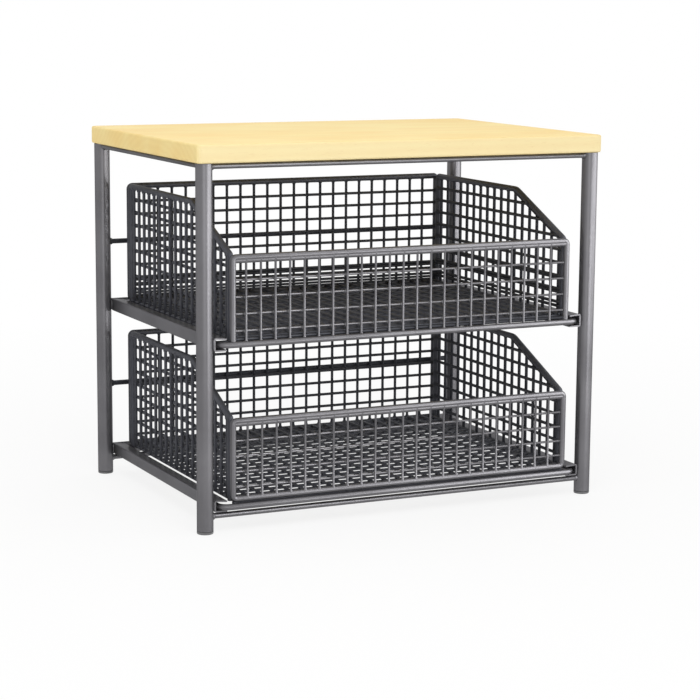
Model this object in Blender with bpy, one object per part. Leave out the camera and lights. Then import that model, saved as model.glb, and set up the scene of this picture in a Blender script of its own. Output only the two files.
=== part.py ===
"""Countertop storage rack: a wooden top on a steel frame, with two wire baskets that pull out.

The rack stands on z = 0, centred on x = 0 and y = 0. +X runs along its width and the baskets slide out
towards -Y. Each basket is modelled about the middle plane of its slide ring and hangs on an empty there.
"""

import math

import bmesh
import bpy
from mathutils import Matrix, Vector

MM = 0.001

# The gap that is left where two pieces are welded together or rest on each other.
SEAT_GAP = 0.3 * MM

# Overall size
RACK_WIDTH = 372 * MM
RACK_DEPTH = 260 * MM
RACK_HEIGHT = 315 * MM

# Wooden top
BOARD_THICKNESS = 15 * MM
BOARD_CORNER_RADIUS = 4 * MM
BOARD_EDGE_ROUND = 1.6 * MM
BOARD_EDGE_STEPS = 3
BOARD_OVERHANG = 1.0 * MM

# Legs and their plugs
LEG_DIAMETER = 13.6 * MM
LEG_WALL = 1.0 * MM
LEG_SIDES = 24
FOOT_FLANGE = 2.0 * MM
FOOT_CHAMFER = 0.5 * MM
FOOT_SPIGOT = 9 * MM

# Round bars between the legs
BAR_DIAMETER = 4.6 * MM
BAR_SIDES = 12
REAR_ROD_DIAMETER = 4.4 * MM
UPPER_REAR_ROD_SHARE = 0.538
LOWER_REAR_ROD_SHARE = 0.574

# Tabs and screws that hold the top
TAB_THICKNESS = 1.5 * MM
TAB_LENGTH = 16 * MM
TAB_WIDTH = 13 * MM
TAB_PLACE_SHARE = 0.55
SCREW_DIAMETER = 3.4 * MM
SCREW_HEAD_DIAMETER = 7.4 * MM
SCREW_HEAD_HEIGHT = 2.2 * MM
SCREW_LENGTH = 12 * MM
SCREW_SIDES = 16
HOLE_OVERRUN = 1.0 * MM

# Runners: folded channels open to the inside, closed at the rear by a flat strip
RUNNER_WIDTH = 11 * MM
RUNNER_HEIGHT = 10 * MM
RUNNER_WALL = 1.0 * MM
RUNNER_LEAD = 3.2 * MM
LOWER_RUNNER_TOP = 27.2 * MM
STRIP_THICKNESS = 2.0 * MM

# Room above the baskets' rims, up to the board and up to the upper runners
TOP_HEADROOM = 35.8 * MM
BAY_HEADROOM = 19.2 * MM

# Rods and wires of a basket
ROD_DIAMETER = 5.2 * MM
ROD_SIDES = 8
FRAME_BEND = 5 * MM
SLOPE_BEND = 14 * MM
RING_BEND = 8 * MM
STEPS_IN_QUARTER = 4
WIRE_DIAGONAL = 2.4 * MM
WALL_MESH_PITCH = 25.4 * MM
FLOOR_MESH_PITCH = 33 * MM

# Fit of a basket in its bay
RING_SIDE_CLEARANCE = 1.2 * MM
RING_FRONT_INSET = 0.1 * MM
RING_STOP_GAP = 1.0 * MM
BASKET_SIDE_CLEARANCE = 2.5 * MM
FRAME_SETBACK = 1.7 * MM

# Shape of a basket. A rise is a height above the middle of its slide ring.
SILL_RISE = 6.1 * MM
FLOOR_RISE = 6.3 * MM
FRONT_RISE_SHARE = 0.654
SLOPE_TOE_STEP = 1.5 * MM
SLOPE_RUN_SHARE = 0.354

# Looks: colour, roughness, metallic
FINISHES = {
    "pale_wood": ((0.83, 0.66, 0.36, 1.0), 0.5, 0.0),
    "grey_powder_coat": ((0.15, 0.15, 0.16, 1.0), 0.4, 0.6),
    "black_plastic": ((0.03, 0.03, 0.03, 1.0), 0.6, 0.0),
    "zinc_plated_steel": ((0.55, 0.55, 0.56, 1.0), 0.35, 1.0),
}
SMOOTH_BELOW = math.radians(50)

# Places that several pieces share
LEG_RADIUS = LEG_DIAMETER / 2
LEG_X = RACK_WIDTH / 2 - BOARD_OVERHANG - LEG_RADIUS
LEG_Y = RACK_DEPTH / 2 - BOARD_OVERHANG - LEG_RADIUS
BETWEEN_LEGS_X = LEG_X - LEG_RADIUS - SEAT_GAP
BETWEEN_LEGS_Y = LEG_Y - LEG_RADIUS - SEAT_GAP
BOARD_BOTTOM = RACK_HEIGHT - BOARD_THICKNESS
BAR_RADIUS = BAR_DIAMETER / 2
TOP_BAR_HEIGHT = BOARD_BOTTOM - SEAT_GAP - BAR_RADIUS

ROD_RADIUS = ROD_DIAMETER / 2
WIRE_HALF = WIRE_DIAGONAL / 2

# A ring's rod rests on its runner's lower flange, and the two baskets share the rack's height
RING_LIFT = RUNNER_WALL + SEAT_GAP + ROD_RADIUS
LOWER_RUNNER_BOTTOM = LOWER_RUNNER_TOP - RUNNER_HEIGHT
LOWER_RING = LOWER_RUNNER_BOTTOM + RING_LIFT
BASKET_HEIGHT = (BOARD_BOTTOM - TOP_HEADROOM - RING_LIFT - BAY_HEADROOM - LOWER_RING) / 2
UPPER_RUNNER_BOTTOM = LOWER_RING + BASKET_HEIGHT + BAY_HEADROOM
RUNNER_BOTTOMS = {"upper": UPPER_RUNNER_BOTTOM, "lower": LOWER_RUNNER_BOTTOM}
BOTTOM_BAR_HEIGHT = LOWER_RUNNER_BOTTOM - SEAT_GAP - BAR_RADIUS
RIM_RISE = BASKET_HEIGHT - ROD_RADIUS
FRONT_RISE = RIM_RISE * FRONT_RISE_SHARE
SLOPE_TOE_RISE = FRONT_RISE + SLOPE_TOE_STEP

RING_X = BETWEEN_LEGS_X - RUNNER_WALL - RING_SIDE_CLEARANCE - ROD_RADIUS
RING_FRONT = -(RACK_DEPTH / 2 - RING_FRONT_INSET - ROD_RADIUS)
RING_REAR = LEG_Y - STRIP_THICKNESS / 2 - RING_STOP_GAP - ROD_RADIUS
FRONT_PLANE = RING_FRONT + FRAME_SETBACK
BACK_PLANE = RING_REAR - FRAME_SETBACK
FRAME_X = BETWEEN_LEGS_X - RUNNER_WIDTH - BASKET_SIDE_CLEARANCE - ROD_RADIUS
SIDE_FRONT = FRONT_PLANE + ROD_DIAMETER + SEAT_GAP
SIDE_REAR = BACK_PLANE - ROD_DIAMETER - SEAT_GAP
SLOPE_RUN = (SIDE_REAR - SIDE_FRONT) * SLOPE_RUN_SHARE

SIDES = {"left": -1, "right": 1}
ENDS = {"front": -1, "rear": 1}
ARMS = ((1, 0), (0, 1), (-1, 0), (0, -1))


def clear_scene():
    for item in list(bpy.data.objects):
        bpy.data.objects.remove(item, do_unlink=True)


def make_material(name):
    colour, roughness, metallic = FINISHES[name]
    material = bpy.data.materials.new(name)
    material.use_nodes = True
    shader = material.node_tree.nodes["Principled BSDF"]
    shader.inputs["Base Color"].default_value = colour
    shader.inputs["Roughness"].default_value = roughness
    shader.inputs["Metallic"].default_value = metallic
    material.diffuse_color = colour
    return material


def object_from(bm, name, material, place=None):
    """Turns a bmesh into a named object, its points moved by the matrix place."""
    if place:
        bmesh.ops.transform(bm, matrix=place, verts=bm.verts)
    bmesh.ops.recalc_face_normals(bm, faces=bm.faces)
    mesh = bpy.data.meshes.new(name)
    bm.to_mesh(mesh)
    bm.free()
    mesh.materials.append(material)
    mesh.shade_smooth()
    mesh.set_sharp_from_angle(angle=SMOOTH_BELOW)
    thing = bpy.data.objects.new(name, mesh)
    bpy.context.collection.objects.link(thing)
    return thing


def fuse(base, extra):
    """Makes one closed body of two objects and keeps it under the first one's name."""
    union = base.modifiers.new("union", "BOOLEAN")
    union.operation = "UNION"
    union.solver = "EXACT"
    union.object = extra
    graph = bpy.context.evaluated_depsgraph_get()
    joined = bpy.data.meshes.new_from_object(base.evaluated_get(graph))
    base.modifiers.clear()
    base.data = joined
    bpy.data.objects.remove(extra, do_unlink=True)
    return base


def upright_plane(facing, offset):
    """Matrix from a drawing (u across, v up) to an upright plane: "front" faces -Y, "side" faces +X."""
    if facing == "front":
        axes = Matrix(((1, 0, 0), (0, 0, -1), (0, 1, 0))).to_4x4()
        return Matrix.Translation((0, offset, 0)) @ axes
    axes = Matrix(((0, 0, 1), (1, 0, 0), (0, 1, 0))).to_4x4()
    return Matrix.Translation((offset, 0, 0)) @ axes


def ring_of_points(bm, centre, across, up, radius, sides):
    """A ring of points around a rod, with flat faces to all four sides at exactly the radius."""
    reach = radius / math.cos(math.pi / sides)
    angles = [(k + 0.5) * 2 * math.pi / sides for k in range(sides)]
    return [bm.verts.new(centre + across * math.cos(a) * reach + up * math.sin(a) * reach) for a in angles]


def bridge(bm, ring_a, ring_b):
    count = len(ring_a)
    for k in range(count):
        after = (k + 1) % count
        bm.faces.new((ring_a[k], ring_a[after], ring_b[after], ring_b[k]))


def fillet(before, corner, after, radius):
    """The points of the arc that rounds one corner of a flat path."""
    to_before = (before - corner).normalized()
    to_after = (after - corner).normalized()
    half = to_before.angle(to_after) / 2
    centre = corner + (to_before + to_after).normalized() * (radius / math.sin(half))
    reach = radius / math.tan(half)
    start = corner + to_before * reach - centre
    end = corner + to_after * reach - centre
    turn = math.copysign(math.pi - 2 * half, start.x * end.y - start.y * end.x)
    steps = max(2, round(abs(turn) / (math.pi / 2) * STEPS_IN_QUARTER))
    return [centre + Matrix.Rotation(turn * k / steps, 2) @ start for k in range(steps + 1)]


def rounded_path(corners, bends, closed):
    """The centre line of a bent rod: straight runs between the corners, each rounded by its bend."""
    spots = [Vector(corner) for corner in corners]
    count = len(spots)
    path = []
    for k, spot in enumerate(spots):
        if not closed and k in (0, count - 1):
            path.append(spot)
        else:
            path.extend(fillet(spots[k - 1], spot, spots[(k + 1) % count], bends[k]))
    return path


def mitre(path, k, closed):
    """The direction across a flat path at one of its points, longer where the path turns."""
    count = len(path)
    runs = []
    if closed or k > 0:
        runs.append((path[k] - path[k - 1]).normalized())
    if closed or k < count - 1:
        runs.append((path[(k + 1) % count] - path[k]).normalized())
    along = sum(runs, Vector((0, 0))).normalized()
    across = Vector((along.y, -along.x))
    return across / along.dot(runs[0])


def bent_rod(corners, bends, closed):
    """A round rod bent in one plane, as a bmesh in drawing coordinates."""
    bm = bmesh.new()
    path = rounded_path(corners, bends, closed)
    up = Vector((0, 0, 1))
    rings = []
    for k, spot in enumerate(path):
        across = mitre(path, k, closed).to_3d()
        rings.append(ring_of_points(bm, spot.to_3d(), across, up, ROD_RADIUS, ROD_SIDES))
    for first, second in zip(rings, rings[1:]):
        bridge(bm, first, second)
    if closed:
        bridge(bm, rings[-1], rings[0])
    else:
        bm.faces.new(rings[0])
        bm.faces.new(rings[-1])
    return bm


def crossing(bm, u, v):
    """The six points where two wires of the mesh cross."""
    spots = {"top": (u, v, WIRE_HALF), "bottom": (u, v, -WIRE_HALF)}
    for du in (-1, 1):
        for dv in (-1, 1):
            spots[du, dv] = (u + du * WIRE_HALF, v + dv * WIRE_HALF, 0)
    return {key: bm.verts.new(spot) for key, spot in spots.items()}


def facing(spots, arm):
    """The points of a crossing that look along an arm: top, left, bottom and right."""
    du, dv = arm
    return [spots["top"], spots[du - dv, dv + du], spots["bottom"], spots[du + dv, dv - du]]


def wire_end(bm, near, arm, limit):
    """Runs a wire from a crossing to its end at the limit, and closes it there."""
    du, dv = arm
    length = (limit - near[0].co.x) * du if du else (limit - near[0].co.y) * dv
    middle = near[0].co + Vector((du * length, dv * length, -WIRE_HALF))
    left = Vector((-dv * WIRE_HALF, du * WIRE_HALF, 0))
    up = Vector((0, 0, WIRE_HALF))
    far = [bm.verts.new(middle + step) for step in (up, left, -up, -left)]
    bridge(bm, near, far)
    bm.faces.new(far)


def wire_mesh(columns, rows, limits):
    """Welded wire mesh: square wires set on edge that cross in one plane, as one closed surface.

    limits maps an arm's direction to a function that says where the wires end that way. Where there is
    none, the outermost wire is the edge of the mesh. Crossings too close to a limit are left out.
    """
    bm = bmesh.new()
    margin = ROD_RADIUS + WIRE_DIAGONAL

    def room(u, v, arm):
        limit = limits[arm](u if arm[1] else v)
        return (limit - u) * arm[0] + (limit - v) * arm[1]

    spots = {
        (i, j): crossing(bm, u, v)
        for i, u in enumerate(columns)
        for j, v in enumerate(rows)
        if all(room(u, v, arm) > margin for arm in limits)
    }
    for (i, j), here in spots.items():
        for arm in ARMS:
            near = facing(here, arm)
            there = spots.get((i + arm[0], j + arm[1]))
            if there and arm in ARMS[:2]:
                top, right, bottom, left = facing(there, (-arm[0], -arm[1]))
                bridge(bm, near, (top, left, bottom, right))
            elif not there and arm in limits:
                coordinate = columns[i] if arm[1] else rows[j]
                wire_end(bm, near, arm, limits[arm](coordinate))
            elif not there:
                bm.faces.new((near[0], near[1], near[3]))
                bm.faces.new((near[2], near[1], near[3]))
    return bm


def spaced(low, high, pitch):
    """Places of the wires between two rods, evenly spaced at about the pitch."""
    cells = max(1, round((high - low) / pitch))
    return [low + (high - low) * k / cells for k in range(1, cells)]


def rod(name, start, end, diameter, sides, material):
    """A straight round bar between two points along X or Y."""
    bm = bmesh.new()
    along = (end - start).normalized()
    up = Vector((0, 0, 1))
    across = along.cross(up)
    rings = [ring_of_points(bm, spot, across, up, diameter / 2, sides) for spot in (start, end)]
    bridge(bm, *rings)
    for ring in rings:
        bm.faces.new(ring)
    return object_from(bm, name, material)


def block(name, low, high, material):
    """A flat bar or plate between two opposite corners."""
    bm = bmesh.new()
    bmesh.ops.create_cube(bm, size=1)
    size = [b - a for a, b in zip(low, high)]
    middle = [(a + b) / 2 for a, b in zip(low, high)]
    place = Matrix.Translation(middle) @ Matrix.Diagonal((*size, 1))
    return object_from(bm, name, material, place)


def turned(name, profile, sides, material, spot, closed=False):
    """A piece turned about a vertical axis from (radius, height) points; closed leaves an open bore."""
    bm = bmesh.new()
    corners = list(profile) + [profile[0]] if closed else profile
    verts = [bm.verts.new((radius, 0, height)) for radius, height in corners]
    edges = [bm.edges.new(pair) for pair in zip(verts, verts[1:])]
    geometry = verts + edges
    bmesh.ops.spin(bm, geom=geometry, cent=(0, 0, 0), axis=(0, 0, 1), angle=2 * math.pi, steps=sides)
    bmesh.ops.remove_doubles(bm, verts=bm.verts, dist=SEAT_GAP / 10)
    return object_from(bm, name, material, Matrix.Translation(spot))


def drill(thing, cutter):
    """Cuts one hole with a Boolean that stays on the object."""
    cut = thing.modifiers.new("hole", "BOOLEAN")
    cut.operation = "DIFFERENCE"
    cut.solver = "EXACT"
    cut.object = cutter


def hang(things, parent):
    for thing in things:
        thing.parent = parent


def make_top_board(wood):
    corners = [(x * RACK_WIDTH / 2, y * RACK_DEPTH / 2) for x, y in ((1, 1), (-1, 1), (-1, -1), (1, -1))]
    outline = rounded_path(corners, [BOARD_CORNER_RADIUS] * len(corners), True)
    bm = bmesh.new()
    under = bm.faces.new([bm.verts.new((spot.x, spot.y, BOARD_BOTTOM)) for spot in outline])
    grown = bmesh.ops.extrude_face_region(bm, geom=[under])["geom"]
    lifted = [item for item in grown if isinstance(item, bmesh.types.BMVert)]
    bmesh.ops.translate(bm, vec=(0, 0, BOARD_THICKNESS), verts=lifted)
    board = object_from(bm, "top_board", wood)
    ease = board.modifiers.new("eased_edges", "BEVEL")
    ease.width = BOARD_EDGE_ROUND
    ease.segments = BOARD_EDGE_STEPS
    ease.limit_method = "ANGLE"
    ease.angle_limit = SMOOTH_BELOW
    return board


def make_legs(steel, plastic):
    bore = LEG_RADIUS - LEG_WALL
    foot_end = FOOT_FLANGE + SEAT_GAP
    top = BOARD_BOTTOM - SEAT_GAP
    tube = ((LEG_RADIUS, foot_end), (LEG_RADIUS, top), (bore, top), (bore, foot_end))
    spigot = bore - SEAT_GAP
    plug = (
        (0, 0),
        (LEG_RADIUS - FOOT_CHAMFER, 0),
        (LEG_RADIUS, FOOT_CHAMFER),
        (LEG_RADIUS, FOOT_FLANGE),
        (spigot, FOOT_FLANGE),
        (spigot, FOOT_FLANGE + FOOT_SPIGOT),
        (0, FOOT_FLANGE + FOOT_SPIGOT),
    )
    for end, y in ENDS.items():
        for side, x in SIDES.items():
            spot = (x * LEG_X, y * LEG_Y, 0)
            turned(f"leg_{end}_{side}", tube, LEG_SIDES, steel, spot, closed=True)
            turned(f"foot_plug_{end}_{side}", plug, LEG_SIDES, plastic, spot)


def make_cross_bar(name, y, z, diameter, steel):
    start = Vector((-BETWEEN_LEGS_X, y, z))
    end = Vector((BETWEEN_LEGS_X, y, z))
    return rod(name, start, end, diameter, BAR_SIDES, steel)


def make_bars(steel):
    for end, y in ENDS.items():
        make_cross_bar(f"top_bar_{end}", y * LEG_Y, TOP_BAR_HEIGHT, BAR_DIAMETER, steel)
        make_cross_bar(f"bottom_bar_{end}", y * LEG_Y, BOTTOM_BAR_HEIGHT, BAR_DIAMETER, steel)
    for side, x in SIDES.items():
        start = Vector((x * LEG_X, -BETWEEN_LEGS_Y, TOP_BAR_HEIGHT))
        end = Vector((x * LEG_X, BETWEEN_LEGS_Y, TOP_BAR_HEIGHT))
        rod(f"top_bar_{side}", start, end, BAR_DIAMETER, BAR_SIDES, steel)
    rear_rod_y = BACK_PLANE + ROD_RADIUS + SEAT_GAP + REAR_ROD_DIAMETER / 2
    rises = {"upper": RIM_RISE * UPPER_REAR_ROD_SHARE, "lower": RIM_RISE * LOWER_REAR_ROD_SHARE}
    for level, rise in rises.items():
        height = RUNNER_BOTTOMS[level] + RING_LIFT + rise
        make_cross_bar(f"rear_rod_{level}", rear_rod_y, height, REAR_ROD_DIAMETER, steel)


def make_board_fixings(board, steel, zinc):
    """Four tabs on the side bars, each with a wood screw up into the board."""
    tab_top = BOARD_BOTTOM - SEAT_GAP
    tab_bottom = tab_top - TAB_THICKNESS
    below_axis = BAR_RADIUS - TAB_THICKNESS
    tab_outer = LEG_X - math.sqrt(BAR_RADIUS**2 - below_axis**2) - SEAT_GAP
    screw_x = tab_outer - TAB_LENGTH / 2
    head_top = tab_bottom - SEAT_GAP
    head_bottom = head_top - SCREW_HEAD_HEIGHT
    shank = SCREW_DIAMETER / 2
    head = SCREW_HEAD_DIAMETER / 2
    tip = head_top + SCREW_LENGTH
    screw = (
        (0, head_bottom),
        (head, head_bottom),
        (head, head_top),
        (shank, head_top),
        (shank, tip),
        (0, tip),
    )
    bore = shank + SEAT_GAP
    start, stop = tab_bottom - HOLE_OVERRUN, tip + SEAT_GAP
    hole = ((0, start), (bore, start), (bore, stop), (0, stop))
    for end, y in ENDS.items():
        for side, x in SIDES.items():
            place = f"{end}_{side}"
            middle = y * LEG_Y * TAB_PLACE_SHARE
            near, far = sorted((x * tab_outer, x * (tab_outer - TAB_LENGTH)))
            low = (near, middle - TAB_WIDTH / 2, tab_bottom)
            high = (far, middle + TAB_WIDTH / 2, tab_top)
            tab = block(f"tab_{place}", low, high, steel)
            spot = (x * screw_x, middle, 0)
            turned(f"screw_{place}", screw, SCREW_SIDES, zinc, spot)
            cutter = turned(f"hole_cutter_{place}", hole, SCREW_SIDES, zinc, spot)
            cutter.hide_render = True
            cutter.display_type = "WIRE"
            drill(tab, cutter)
            drill(board, cutter)


def make_runner(name, x, bottom, steel):
    """A folded channel against the legs' inner sides, open towards the basket."""
    top = bottom + RUNNER_HEIGHT
    outer, inner = BETWEEN_LEGS_X, BETWEEN_LEGS_X - RUNNER_WIDTH
    web = outer - RUNNER_WALL
    profile = (
        (outer, bottom),
        (outer, top),
        (inner, top),
        (inner, top - RUNNER_WALL),
        (web, top - RUNNER_WALL),
        (web, bottom + RUNNER_WALL),
        (inner, bottom + RUNNER_WALL),
        (inner, bottom),
    )
    start = -(LEG_Y + RUNNER_LEAD)
    end = LEG_Y - STRIP_THICKNESS / 2 - SEAT_GAP
    bm = bmesh.new()
    rings = [[bm.verts.new((x * u, y, z)) for u, z in profile] for y in (start, end)]
    bridge(bm, *rings)
    for ring in rings:
        bm.faces.new(ring)
    return object_from(bm, name, steel)


def make_runners(steel):
    for level, bottom in RUNNER_BOTTOMS.items():
        for side, x in SIDES.items():
            make_runner(f"runner_{level}_{side}", x, bottom, steel)
        low = (-BETWEEN_LEGS_X, LEG_Y - STRIP_THICKNESS / 2, bottom)
        high = (BETWEEN_LEGS_X, LEG_Y + STRIP_THICKNESS / 2, bottom + RUNNER_HEIGHT)
        block(f"stop_strip_{level}", low, high, steel)


def make_slide_ring(name, steel):
    corners = ((RING_X, RING_FRONT), (RING_X, RING_REAR), (-RING_X, RING_REAR), (-RING_X, RING_FRONT))
    return object_from(bent_rod(corners, [RING_BEND] * len(corners), True), name, steel)


def make_flat_panel(name, plane, bottom, top, closed, steel):
    """A front or back panel: a rod frame filled with wire mesh. One that isn't closed stands on its feet."""
    place = upright_plane("front", plane)
    corners = [(-FRAME_X, bottom), (-FRAME_X, top), (FRAME_X, top), (FRAME_X, bottom)]
    frame = object_from(bent_rod(corners, [FRAME_BEND] * len(corners), closed), name, steel, place)
    columns = spaced(-FRAME_X, FRAME_X, WALL_MESH_PITCH)
    rows = spaced(bottom, top, WALL_MESH_PITCH)
    limits = {
        (1, 0): lambda v: FRAME_X,
        (-1, 0): lambda v: -FRAME_X,
        (0, 1): lambda u: top,
        (0, -1): lambda u: bottom,
    }
    mesh = object_from(wire_mesh(columns, rows, limits), name + "_mesh", steel, place)
    return fuse(frame, mesh)


def slope_height(u):
    """Height of a side panel's top rod: level at the rear, falling in a straight slope to the front."""
    climb = (RIM_RISE - SLOPE_TOE_RISE) * (u - SIDE_FRONT) / SLOPE_RUN
    return min(RIM_RISE, SLOPE_TOE_RISE + climb)


def slope_place(v):
    """Where a level wire meets the slope or, below it, the front upright."""
    return SIDE_FRONT + max(0, SLOPE_RUN * (v - SLOPE_TOE_RISE) / (RIM_RISE - SLOPE_TOE_RISE))


def make_side_panel(name, x, steel):
    """A side panel: a rod bent round its rear, top, slope and front; the mesh's lowest wire is its foot."""
    place = upright_plane("side", x)
    foot = FLOOR_RISE - WIRE_HALF
    corners = (
        (SIDE_FRONT, foot),
        (SIDE_FRONT, SLOPE_TOE_RISE),
        (SIDE_FRONT + SLOPE_RUN, RIM_RISE),
        (SIDE_REAR, RIM_RISE),
        (SIDE_REAR, foot),
    )
    bends = (0, FRAME_BEND, SLOPE_BEND, FRAME_BEND, 0)
    frame = object_from(bent_rod(corners, bends, False), name, steel, place)
    columns = spaced(SIDE_FRONT, SIDE_REAR, WALL_MESH_PITCH)
    rows = [FLOOR_RISE] + spaced(FLOOR_RISE, RIM_RISE, WALL_MESH_PITCH)
    limits = {
        (1, 0): lambda v: SIDE_REAR,
        (-1, 0): slope_place,
        (0, 1): slope_height,
    }
    mesh = object_from(wire_mesh(columns, rows, limits), name + "_mesh", steel, place)
    return fuse(frame, mesh)


def make_floor(name, steel):
    """The floor's mesh, whose outermost wires are its edge."""
    inset = ROD_RADIUS + SEAT_GAP + WIRE_HALF
    half_width = FRAME_X - inset
    front, rear = FRONT_PLANE + inset, BACK_PLANE - inset
    columns = [-half_width] + spaced(-half_width, half_width, FLOOR_MESH_PITCH) + [half_width]
    rows = [front] + spaced(front, rear, FLOOR_MESH_PITCH) + [rear]
    place = Matrix.Translation((0, 0, FLOOR_RISE))
    return object_from(wire_mesh(columns, rows, {}), name, steel, place)


def make_basket(level, steel):
    """One basket on its slide ring. The upper one's front stands on the ring, the lower one's has a sill."""
    has_sill = level == "lower"
    front_bottom = SILL_RISE if has_sill else ROD_RADIUS + SEAT_GAP
    pieces = [
        make_slide_ring(f"{level}_slide_ring", steel),
        make_flat_panel(f"{level}_front_panel", FRONT_PLANE, front_bottom, FRONT_RISE, has_sill, steel),
        make_flat_panel(f"{level}_back_panel", BACK_PLANE, SILL_RISE, RIM_RISE, True, steel),
        make_side_panel(f"{level}_left_panel", -FRAME_X, steel),
        make_side_panel(f"{level}_right_panel", FRAME_X, steel),
        make_floor(f"{level}_floor", steel),
    ]
    slide = bpy.data.objects.new(f"{level}_basket_slide", None)
    bpy.context.collection.objects.link(slide)
    slide.location = (0, 0, RUNNER_BOTTOMS[level] + RING_LIFT)
    hang(pieces, slide)


def main():
    clear_scene()
    wood, steel, plastic, zinc = [make_material(name) for name in FINISHES]
    board = make_top_board(wood)
    make_legs(steel, plastic)
    make_bars(steel)
    make_board_fixings(board, steel, zinc)
    make_runners(steel)
    for level in RUNNER_BOTTOMS:
        make_basket(level, steel)


main()
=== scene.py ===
"""Countertop storage rack with two pull-out wire baskets, dressed for the camera.

Every piece takes its place from the CAD frame: x = width, y = depth (the baskets slide out to -Y), z = up.
Flat pieces are drawn in their own plane (u across, v up, w towards the outside) and then stood in place.
"""

import math

import bmesh
import bpy
from mathutils import Matrix, Vector


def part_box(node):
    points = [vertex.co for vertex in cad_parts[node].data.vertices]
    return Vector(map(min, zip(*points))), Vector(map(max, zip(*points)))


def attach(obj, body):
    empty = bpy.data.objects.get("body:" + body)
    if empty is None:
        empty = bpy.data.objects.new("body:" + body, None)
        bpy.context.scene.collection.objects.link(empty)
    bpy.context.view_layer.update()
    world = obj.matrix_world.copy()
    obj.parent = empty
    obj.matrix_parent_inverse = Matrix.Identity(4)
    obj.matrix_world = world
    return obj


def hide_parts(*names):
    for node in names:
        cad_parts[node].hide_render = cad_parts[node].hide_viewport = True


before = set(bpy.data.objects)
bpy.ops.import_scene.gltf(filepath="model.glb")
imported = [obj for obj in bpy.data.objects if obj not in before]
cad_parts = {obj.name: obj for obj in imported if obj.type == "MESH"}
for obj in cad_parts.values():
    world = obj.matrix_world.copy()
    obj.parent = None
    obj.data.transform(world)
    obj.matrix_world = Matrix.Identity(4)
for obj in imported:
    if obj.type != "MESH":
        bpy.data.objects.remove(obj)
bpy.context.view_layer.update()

MM = 0.001

# Wires of the baskets
WIRE_RADIUS = 1.25 * MM         # of the backs and floors
THIN_WIRE_RADIUS = 1.0 * MM     # of the fronts
SIDE_WIRE_RADIUS = 1.4 * MM
WIRE_SIDES = 10
LAYER = 1.0 * MM                # half the distance between two crossing layers, which are pressed together
WELD_REACH = 1.3 * MM           # how far a crossing's weld fills the corners
WELD_DEPTH = 0.8 * MM
FLARE = 1.45                    # a wire's end spreads by this factor where it is welded to a rod
FLARE_LENGTH = 1.0 * MM
CUT_END = 0.8                   # a free end narrows to this share of the wire, as the cutter leaves it
CUT_LENGTH = 0.3                # in wire radii

# Spacing of the wires. The rows' entries give the first height above the ring, the pitch and the count.
COLUMN_PITCH = 12.85 * MM
COLUMN_COUNT = 23
FRONT_COLUMN_SHIFT = {"upper": -2.6 * MM, "lower": -1.4 * MM}
BACK_COLUMN_PITCH = 13.43 * MM
BACK_COLUMN_COUNT = 22
SIDE_COLUMN_PITCH = 12.75 * MM
SIDE_COLUMN_COUNT = 18
SIDE_COLUMN_SHIFT = {"left": -2.5 * MM, "right": 1.8 * MM}
FRONT_ROWS = {"upper": (10.6 * MM, 13.75 * MM, 4), "lower": (15.4 * MM, 12.77 * MM, 4)}
BACK_ROWS = (13.8 * MM, 11.4 * MM, 8)
SIDE_ROWS = (16.2 * MM, 11.45 * MM, 8)
# The next four give a wire's height above the ring, and its radius.
# The side panels' foot wire; the lower one leaves a slit over the runner.
SIDE_FOOT_WIRE = {"upper": (4.4 * MM, 1.7 * MM), "lower": (4.9 * MM, 1.2 * MM)}
# The wire that closes the slit between the front's mesh and the ring, where the basket's shaded inside
# would show. It is drawn in the darker wire copy of the coat, as painted shade.
FRONT_FOOT_WIRE = {"upper": (3.7 * MM, 1.4 * MM), "lower": (2.7 * MM, 1.2 * MM)}
# The closer wires of the upper basket, low in its back and in its right side
BACK_GUARD_WIRES = (
    (8.4 * MM, 1.2 * MM),
    (11.0 * MM, 1.15 * MM),
    (18.6 * MM, 1.8 * MM),
    (22.9 * MM, 1.3 * MM),
)
RIGHT_GUARD_WIRES = (
    (12.7 * MM, 1.4 * MM),
    (25.0 * MM, 1.4 * MM),
    (37.2 * MM, 1.2 * MM),
)
SILL_DROP = 0.1 * MM            # the lower front's sill sits down on the ring
EDGE_WIRE_RADIUS = 1.05 * MM    # of the wire that ends the mesh, along the slopes' inner side
EDGE_WIRE_BITE = 0.9            # how far out it lies, in its radii: the weld takes up the rest
EDGE_ROD_RADIUS = 2.3 * MM      # of the rod that is welded along the underside of the front rim
EDGE_ROD_DROP = 2.4 * MM        # how far its middle lies below the rim's

# Rods and bars
ROD_SIDES = 20
STEPS_IN_QUARTER = 8            # facets in a bend of 90 degrees
FRAME_BEND = 2.8 * MM           # bends are measured at the rod's middle
SLOPE_BEND = 14 * MM
RING_BEND = 8 * MM
SLOPE_TOE_STEP = 1.5 * MM       # the slope starts this much above the front rim
SLOPE_RUN_SHARE = 0.354         # of the side panel's depth
BAR_SIDES = 24
BAR_WELD = 1.35                 # the weld round a bar's end, in bar radii
BAR_WELD_LENGTH = 1.2 * MM
BAR_WELD_FACE = 0.3 * MM        # the weld keeps its full size for this length
BAR_WELD_WAIST = 0.35           # share of the weld's height half way along its slope
BAR_SUNK = 1.2 * MM             # a bar's end reaches this far into the leg's round side
BOTTOM_BAR_DROP = 0.6 * MM

# Weld beads
BEAD_ENDS = ((0.8, 0.35), (0.4, 0.8))   # distance past the bead's run and radius there, in bead radii
BEAD_WAIST = 0.92               # a bead is a little thinner in its middle
SHEET_BEAD_RADIUS = 0.9 * MM
TACK_RADIUS = 1.5 * MM
TACK_HALF_LENGTH = 3.5 * MM
TACK_COLUMNS = (-9, -4.5, 0, 4.5, 9)    # places along the back, in column pitches

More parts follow.
